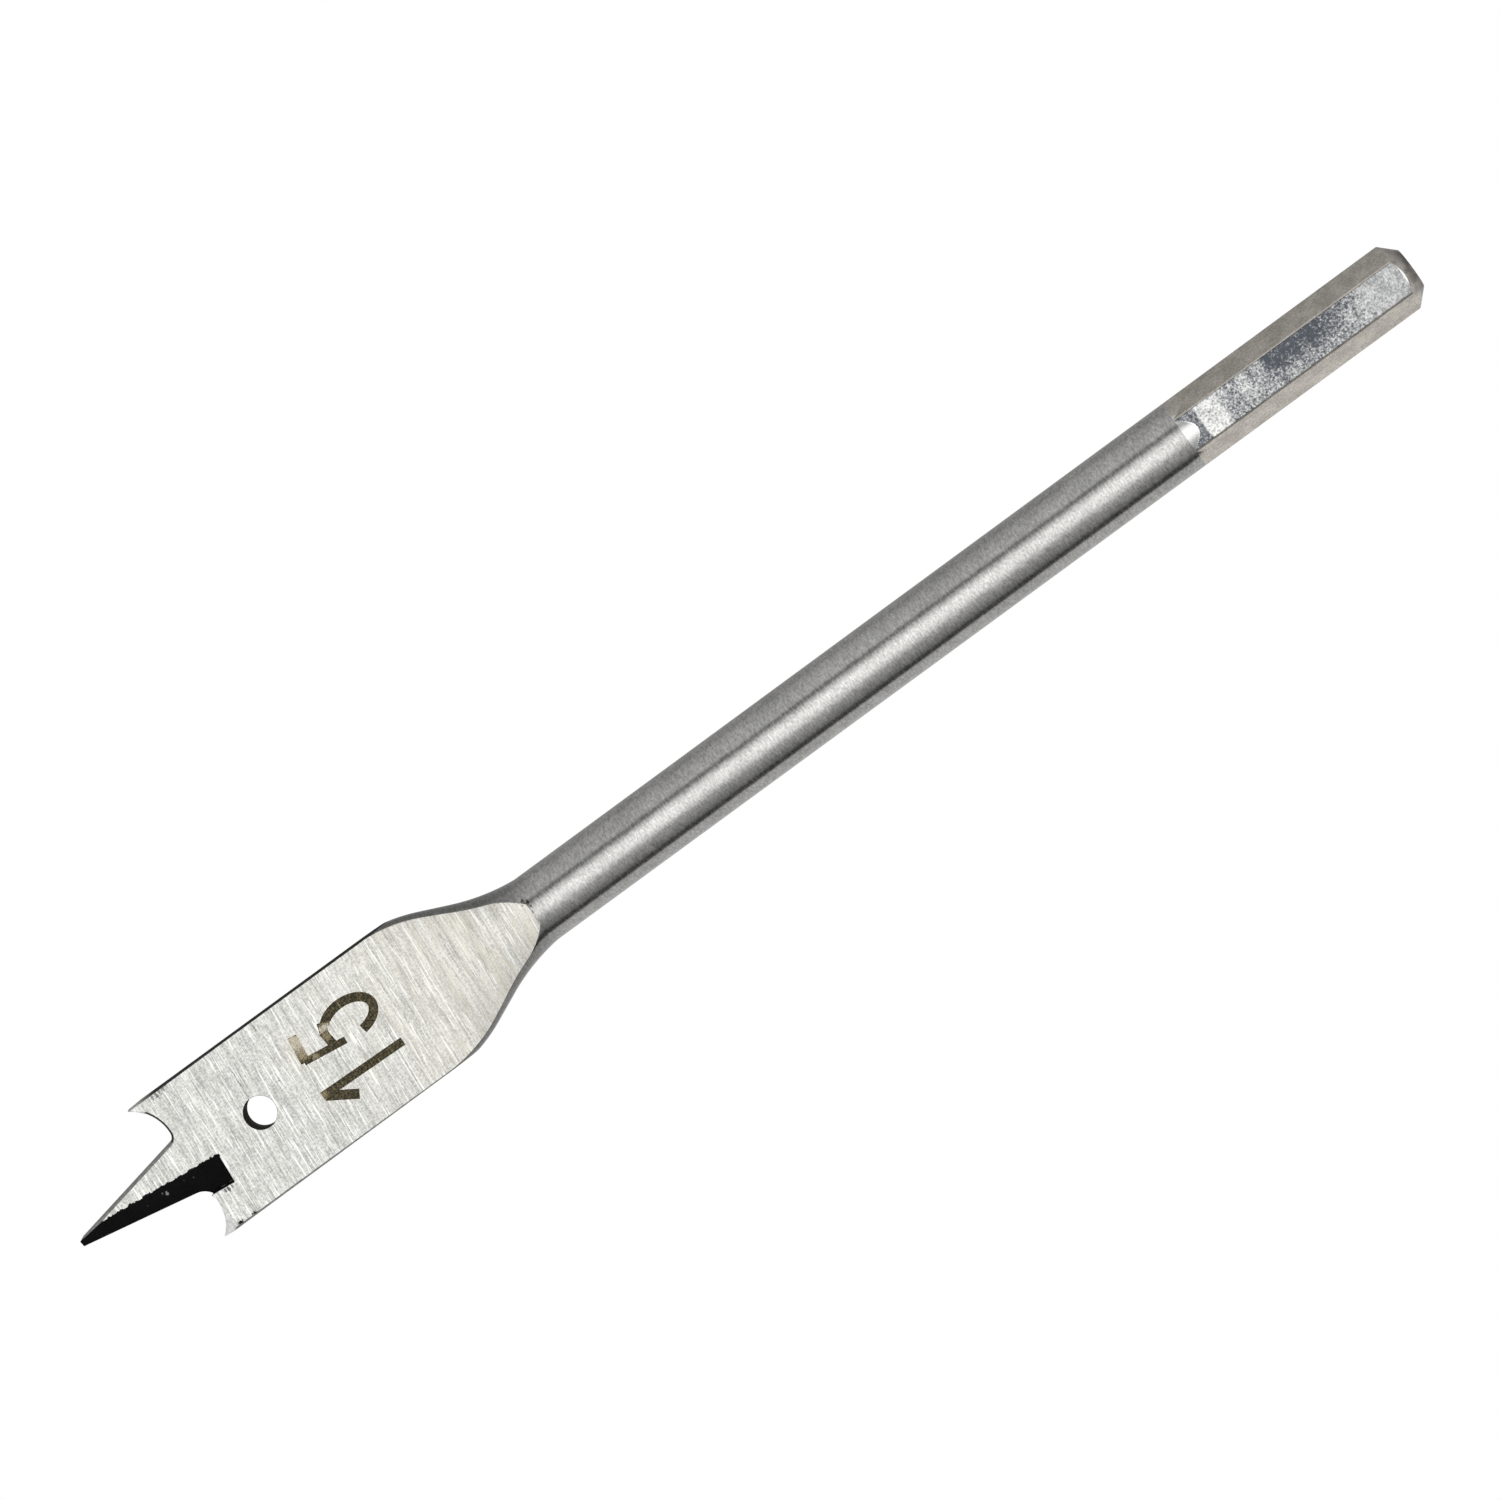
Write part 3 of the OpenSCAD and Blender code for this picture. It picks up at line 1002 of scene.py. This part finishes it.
    def round_edges(self, work: BMesh, numbers: dict[Zone, int]) -> None:
        """Round every sharp edge a little, and darken those beside a dark wall: by the hole with the hole
        wall's painted shade, along the sides with the sides' colour.

        Args:
            work: The blade's mesh.
            numbers: The slot's number for each zone.
        """
        sharp = [
            edge for edge in work.edges
            if len(edge.link_faces) == 2 and edge.calc_face_angle() > self.sharp_turn
        ]
        rounded = bmesh.ops.bevel(
            work, geom=sharp, offset=self.edge_mm * MM, offset_type="OFFSET", segments=2, profile=0.5,
            affect="EDGES", clamp_overlap=False, material=-1,
        )
        for face in rounded["faces"]:
            middle = BIT.to_bit(face.calc_center_median())
            open_side = middle.y * middle.z > 0 or middle.x < self.worn_to
            # The rounded rim of the hole takes the hole wall's near-black painted shade.
            if self.by_hole(middle, 2 * self.edge_mm):
                face.material_index = numbers[Zone.HOLE]
            elif abs(middle.y) > self.edge_from and self.edge_x < middle.x < self.edge_to and open_side:
                face.material_index = numbers[Zone.GROUND_SIDE]

    def clear_tiny(self, work: BMesh) -> None:
        """Cut the mesh into triangles and clear those without a width.

        Args:
            work: The blade's mesh.
        """
        for _ in range(self.passes):
            work.normal_update()
            bmesh.ops.triangulate(work, faces=work.faces)
            bmesh.ops.remove_doubles(work, verts=work.verts, dist=self.tiny_mm * MM)
            bmesh.ops.dissolve_degenerate(work, dist=self.tiny_mm * MM, edges=work.edges)

    def build(self, shelf: FinishShelf) -> Object:
        """Copy the solid's blade, round its edges and dress it.

        Args:
            shelf: The finishes.

        Returns:
            The blade.
        """
        mesh = bpy.data.meshes.new("blade")
        work = self.copy_solid()
        numbers = shelf.dress(mesh, self.ZONES)
        sort_faces(work, numbers, self.zone)
        # The lips' broken edges show as a near-black strip of painted shade beside the face.
        for wall, width in ((Zone.LIP_WALL, self.lip_edge_mm), (Zone.CUT_WALL, self.flank_edge_mm)):
            self.break_edge(work, {numbers[Zone.GROUND_FACE], numbers[wall]}, width, numbers[wall])
        self.round_edges(work, numbers)
        self.clear_tiny(work)
        work.to_mesh(mesh)
        work.free()
        mesh.set_sharp_from_angle(angle=self.crease)
        for poly in mesh.polygons:
            poly.use_smooth = abs(BIT.turn_to_bit(poly.normal).z) < self.level
        return mount("blade", mesh)


@dataclass
class Shank:
    """The round rod and its hexagonal end, as one turned skin."""

    start: float = 52.95
    proud_mm: float = 0.003
    hex_length: float = 25.1
    hex_af: float = 6.0
    hex_cone: float = 1.4
    end_chamfer: float = 1.4
    soft: float = 0.03
    soft_reach: float = 0.3
    # Spacing of the stations along the skin, and of the turns about it in degrees.
    rod_step: float = 1.5
    fine_step: float = 0.04
    hex_step: float = 0.6
    past_cone: float = 0.2
    before_end: float = 0.15
    corner: float = 30.0
    corner_from: float = 26.0
    corner_step: float = 0.25
    flat_step: float = 2.0
    # How far the normals of each zone turn.
    end_turn: float = 0.35
    cone_turn: float = 0.15
    cone_front: float = 0.75
    front: float = 0.9
    crease: float = radians(40.0)

    SIDES = 6
    ZONES = (Zone.ROD, Zone.HEX_FRONT, Zone.HEX_SIDE, Zone.CONE, Zone.END_CHAMFER)

    @property
    def hex_from(self) -> float:
        """Distance from the tip to the start of the hexagon."""
        return BIT.length - self.hex_length

    def radius(self, x: float, turn: float) -> float:
        """Give the skin's radius.

        Args:
            x: Distance from the tip.
            turn: Angle about the axis from the front face's normal.

        Returns:
            The distance from the axis.
        """
        rod, flat_r = BIT.rod_r + self.proud_mm, self.hex_af / 2
        if x <= self.hex_from:
            return rod
        step = tau / self.SIDES
        across = (turn + step / 2) % step - step / 2
        body = soft_min(flat_r / cos(across), rod, self.soft)
        cone = rod - (rod - flat_r) / self.hex_cone * (x - self.hex_from)
        if cone > flat_r - self.soft_reach:
            body = soft_max(body, cone, self.soft)
        body = min(body, rod)
        end = rod - (x - (BIT.length - self.end_chamfer))
        return soft_min(body, end, 2 * self.soft) if end < rod + self.soft_reach else body

    def stations(self) -> list[float]:
        """Give the distances at which the skin is laid.

        Returns:
            The distances from the tip.
        """
        cone_to = self.hex_from + self.hex_cone + self.past_cone
        end_from = BIT.length - self.end_chamfer - self.before_end
        return (
            spaced(self.start, self.hex_from, self.rod_step)
            + spaced(self.hex_from, cone_to, self.fine_step)
            + spaced(cone_to, end_from, self.hex_step)
            + spaced(end_from, BIT.length, self.fine_step)
            + [BIT.length]
        )

    def turns(self) -> list[float]:
        """Give the angles about the axis, close together at the hexagon's corners.

        Returns:
            The angles in radians.
        """
        sector = (
            spaced(-self.corner, -self.corner_from, self.corner_step)
            + spaced(-self.corner_from, self.corner_from, self.flat_step)
            + spaced(self.corner_from, self.corner, self.corner_step)
        )
        return [radians(2 * self.corner * k + a) for k in range(self.SIDES) for a in sector]

    def zone(self, middle: Vector, normal: Vector) -> Zone:
        """Say how a face of the shank was finished.

        Args:
            middle: The face's middle in the bit's frame.
            normal: Its normal in the bit's frame.

        Returns:
            The face's zone.
        """
        if middle.x < self.hex_from:
            return Zone.ROD
        if abs(normal.x) > self.end_turn and middle.x > BIT.length - 2 * self.end_chamfer:
            return Zone.END_CHAMFER
        if normal.x > self.cone_turn and middle.x < self.hex_from + 2 * self.hex_cone:
            return Zone.CONE if abs(normal.z) > self.cone_front else Zone.HEX_SIDE
        return Zone.HEX_FRONT if abs(normal.z) > self.front else Zone.HEX_SIDE

    def build(self, shelf: FinishShelf) -> Object:
        """Lay the skin and dress it.

        Args:
            shelf: The finishes.

        Returns:
            The shank.
        """
        mesh = bpy.data.meshes.new("shank")
        work = bmesh.new()
        turns = self.turns()
        rings = []
        for x in self.stations():
            ring = []
            for turn in turns:
                r = self.radius(x, turn)
                ring.append(work.verts.new(BIT.to_row(x, -r * sin(turn), r * cos(turn))))
            rings.append(ring)
        close_tube(work, rings)
        bmesh.ops.recalc_face_normals(work, faces=work.faces)
        sort_faces(work, shelf.dress(mesh, self.ZONES), self.zone)
        for face in work.faces:
            face.smooth = True
        work.to_mesh(mesh)
        work.free()
        mesh.set_sharp_from_angle(angle=self.crease)
        return mount("shank", mesh)


@dataclass
class SizeMark:
    """The size number etched across the blade's front face, its tops towards the tip."""

    lift_mm: float = 0.012
    layer_mm: float = 0.001
    sunk_mm: float = 0.03
    stroke: float = 0.8

    def strokes(self) -> list[tuple[list[Pair], float]]:
        """Give each stroke as points in the bit's x and y, with its width.

        Returns:
            The points and the width of each.
        """
        bowl = arc(middle=(33.05, 2.2), along=2.6, across=1.6, start=148.0, end=-80.0, count=28)
        return [
            ([(26.66, -2.2), (35.82, -2.45)], self.stroke),
            ([(26.9, -2.3), (29.6, -4.02)], 1.2 * self.stroke),
            ([(27.72, 3.95), (27.5, 2.6), (27.32, 1.25)], 1.15 * self.stroke),
            ([(27.2, 1.36), (31.6, 0.76)], 0.85 * self.stroke),
            ([(30.42, 1.0), (30.32, 2.4), (30.7, 3.35)], 1.1 * self.stroke),
            (bowl, 1.12 * self.stroke),
        ]

    def build(self, shelf: FinishShelf) -> Object:
        """Draw each stroke as a thin closed bar, sunk in the face and just proud of it.

        Args:
            shelf: The finishes.

        Returns:
            The mark.
        """
        mesh = bpy.data.meshes.new("size_mark")
        work = bmesh.new()
        sunk = BIT.half_t - self.sunk_mm
        for layer, (points, width) in enumerate(self.strokes()):
            top = BIT.half_t + self.lift_mm + layer * self.layer_mm
            rings = []
            for (ax, ay), (bx, by) in zip(*ribbon(points, width)):
                corners = ((ax, ay, top), (bx, by, top), (bx, by, sunk), (ax, ay, sunk))
                rings.append([work.verts.new(BIT.to_row(*corner)) for corner in corners])
            close_tube(work, rings)
        bmesh.ops.recalc_face_normals(work, faces=work.faces)
        shelf.dress(mesh, (Zone.MARK,))
        work.to_mesh(mesh)
        work.free()
        return mount("size_mark", mesh)


def soft_min(a: float, b: float, width: float) -> float:
    """Smaller of two values, rounded where they meet."""
    blend = max(width - abs(a - b), 0.0) / width
    return min(a, b) - blend * blend * width / 4


def soft_max(a: float, b: float, width: float) -> float:
    """Larger of two values, rounded where they meet."""
    return -soft_min(-a, -b, width)


def spaced(low: float, high: float, step: float) -> list[float]:
    """Give evenly spaced values from low up to, but without, high."""
    count = max(1, round((high - low) / step))
    return [low + (high - low) * i / count for i in range(count)]


def arc(middle: Pair, along: float, across: float, start: float, end: float, count: int) -> list[Pair]:
    """Give points on an elliptical arc, with angles in degrees."""
    turns = [radians(start + (end - start) * i / count) for i in range(count + 1)]
    return [(middle[0] + along * cos(t), middle[1] + across * sin(t)) for t in turns]


def ribbon(points: list[Pair], width: float) -> tuple[list[Pair], list[Pair]]:
    """Give both edges of a ribbon along a line.

    Args:
        points: The line's points.
        width: The ribbon's width.

    Returns:
        The points of its left and of its right edge.
    """
    left, right = [], []
    for i, (x, y) in enumerate(points):
        ax, ay = points[max(i - 1, 0)]
        bx, by = points[min(i + 1, len(points) - 1)]
        size = hypot(bx - ax, by - ay)
        nx, ny = -(by - ay) / size * width / 2, (bx - ax) / size * width / 2
        left.append((x + nx, y + ny))
        right.append((x - nx, y - ny))
    return left, right


@dataclass(frozen=True)
class Studio:
    """Pale floor, light tent and the camera that looks down on the bit."""

    lens_px: float = 4500.0
    image_px: float = 1500.0
    sensor_mm: float = 36.0
    clip_m: Pair = (0.01, 20.0)
    distance_mm: float = 411.2
    aim_x: float = 77.56
    aim_v: float = -0.2
    pitch: float = radians(6.0)
    lean: float = radians(3.0)
    twist: float = radians(36.2488)
    floor_m: float = 4.0
    floor_gap_mm: float = 0.02
    # The floor's glow as the bit mirrors it, across the bit in metres: a painted dark card in front, and
    # dimmer behind; only rays off the bit see it, as painted reflections.
    card: Span = (-0.0205, -0.0175, 0.06, 0.62)
    behind: Span = (0.0, 0.004, 1.0, 0.6)
    # Angle from straight up towards the front, in degrees, and brightness there.
    tent: tuple[Pair, ...] = (
        (-180, 0.15), (-130, 0.22), (-110, 0.36), (-90, 0.45), (-62, 0.57), (-27, 0.68), (-23, 0.24),
        (-14, 0.24), (-10, 0.62), (0, 1.15), (10, 1.58), (22, 1.55), (31, 1.38), (41, 1.0), (50, 0.58),
        (61, 0.46), (72, 0.34), (83, 0.25), (93, 0.12), (180, 0.12),
    )

    def place_camera(self) -> Object:
        """Make the camera and set it as the scene's own.

        Returns:
            The camera.
        """
        side = BIT.roll - self.lean
        flat = cos(self.pitch)
        back = Vector((sin(self.pitch), -sin(side) * flat, cos(side) * flat))
        along = (Vector((1, 0, 0)) - back * back.x).normalized()
        across = along.cross(back)
        right = along * cos(self.twist) + across * sin(self.twist)
        up = along * sin(self.twist) - across * cos(self.twist)
        aim = BIT.to_row(self.aim_x, 0, 0) + across * self.aim_v * MM
        data = bpy.data.cameras.new("camera")
        data.sensor_width = self.sensor_mm
        data.lens = self.lens_px / self.image_px * self.sensor_mm
        data.clip_start, data.clip_end = self.clip_m
        camera = put("camera", data)
        axes = Matrix((right, up, back)).transposed().to_4x4()
        camera.matrix_world = Matrix.Translation(aim + back * self.distance_mm * MM) @ axes
        bpy.context.scene.camera = camera
        return camera

    def lay_floor(self) -> Object:
        """Make the pale floor that the bit lies on: it glows evenly white to the camera, and to rays off the
        bit glows dark in front and dimmer behind, as painted reflections.

        Returns:
            The floor.
        """
        mesh = bpy.data.meshes.new("floor")
        half = self.floor_m / 2
        mesh.from_pydata(
            [(-half, -half, 0), (half, -half, 0), (half, half, 0), (-half, half, 0)], [], [(0, 1, 2, 3)]
        )
        floor = put("floor", mesh)
        floor.location.z = -self.floor_gap_mm * MM
        made = bpy.data.materials.new("floor")
        made.use_nodes = True
        sheet = NodeSheet(made.node_tree)
        seen = sheet.add("ShaderNodeLightPath")
        place = sheet.add("ShaderNodeNewGeometry")
        across = sheet.add("ShaderNodeSeparateXYZ", {0: place.outputs["Position"]}).outputs[1]
        # Painted reflection: the glow that rays off the bit see, dark in front and dimmer behind.
        reflected_glow = sheet.product(sheet.span(across, *self.card), sheet.span(across, *self.behind))
        inputs = {0: seen.outputs["Is Camera Ray"], 2: reflected_glow, 3: 1.0}
        tone = sheet.add("ShaderNodeMix", inputs, data_type="FLOAT")
        shader = sheet.add("ShaderNodeEmission", {"Color": WHITE, "Strength": tone.outputs[0]})
        sheet.add("ShaderNodeOutputMaterial", {"Surface": shader.outputs[0]})
        mesh.materials.append(made)
        return floor

    def light(self) -> None:
        """Hang a light tent: a wide bright strip overhead, grey behind it and dark in front."""
        world = bpy.data.worlds.new("tent")
        bpy.context.scene.world = world
        world.use_nodes = True
        sheet = NodeSheet(world.node_tree)
        coords = sheet.add("ShaderNodeTexCoord").outputs["Generated"]
        _, back, up = sheet.add("ShaderNodeSeparateXYZ", {0: coords}).outputs
        angle = sheet.math("ARCTAN2", sheet.product(back, -1.0), up)
        place = sheet.add("ShaderNodeMapRange", {"Value": angle, "From Min": -pi, "From Max": pi})
        ramp = sheet.add("ShaderNodeValToRGB", {"Fac": place.outputs[0]})
        elements = ramp.color_ramp.elements
        while len(elements) < len(self.tent):
            elements.new(0.5)
        for element, (degrees, level) in zip(elements, self.tent):
            element.position = (degrees + 180) / 360
            element.color = rgba((level, level, level))
        glow = sheet.add("ShaderNodeBackground", {"Color": ramp.outputs[0], "Strength": 1.0})
        white = sheet.add("ShaderNodeBackground", {"Color": WHITE, "Strength": 1.0})
        seen = sheet.add("ShaderNodeLightPath")
        inputs = {0: seen.outputs["Is Camera Ray"], 1: glow.outputs[0], 2: white.outputs[0]}
        both = sheet.add("ShaderNodeMixShader", inputs)
        sheet.add("ShaderNodeOutputWorld", {"Surface": both.outputs[0]})
        view = bpy.context.scene.view_settings
        view.view_transform = "Standard"
        view.look = "None"


def main() -> None:
    """Build every piece in order, set the studio and note the sizes."""
    logging.basicConfig(level=logging.INFO, format="%(name)s %(message)s")
    studio = Studio()
    studio.place_camera()
    shelf = FinishShelf(FINISHES)
    blade = Blade().build(shelf)
    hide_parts(NODE)
    Shank().build(shelf)
    SizeMark().build(shelf)
    studio.lay_floor()
    studio.light()


if __name__ == "__main__":
    main()
